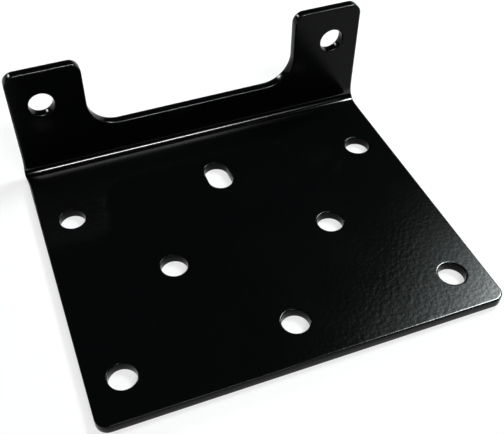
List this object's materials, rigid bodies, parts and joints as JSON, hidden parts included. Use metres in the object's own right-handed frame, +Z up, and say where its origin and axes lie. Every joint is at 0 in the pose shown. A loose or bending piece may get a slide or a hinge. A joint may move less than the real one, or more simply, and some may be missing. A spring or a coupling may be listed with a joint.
{
  "type": "winch mounting plate",
  "caption": "Folded steel plate with bolt holes in a flat base and an upright flange cut away into two drilled ears, for fixing a small winch and its fairlead.",
  "frame": {"origin": "middle of the plate's width and depth, on the underside of the base", "axes": "+X along the fold, +Y from the front edge to the flange, +Z up from the underside"},
  "size_m": [0.1486, 0.1284, 0.0517],
  "materials": {
    "powder_coat": "gloss black powder coat with a fine orange peel"
  },
  "bodies": {
    "root": {"mounting_plate": "powder_coat"}
  },
  "joints": []
}
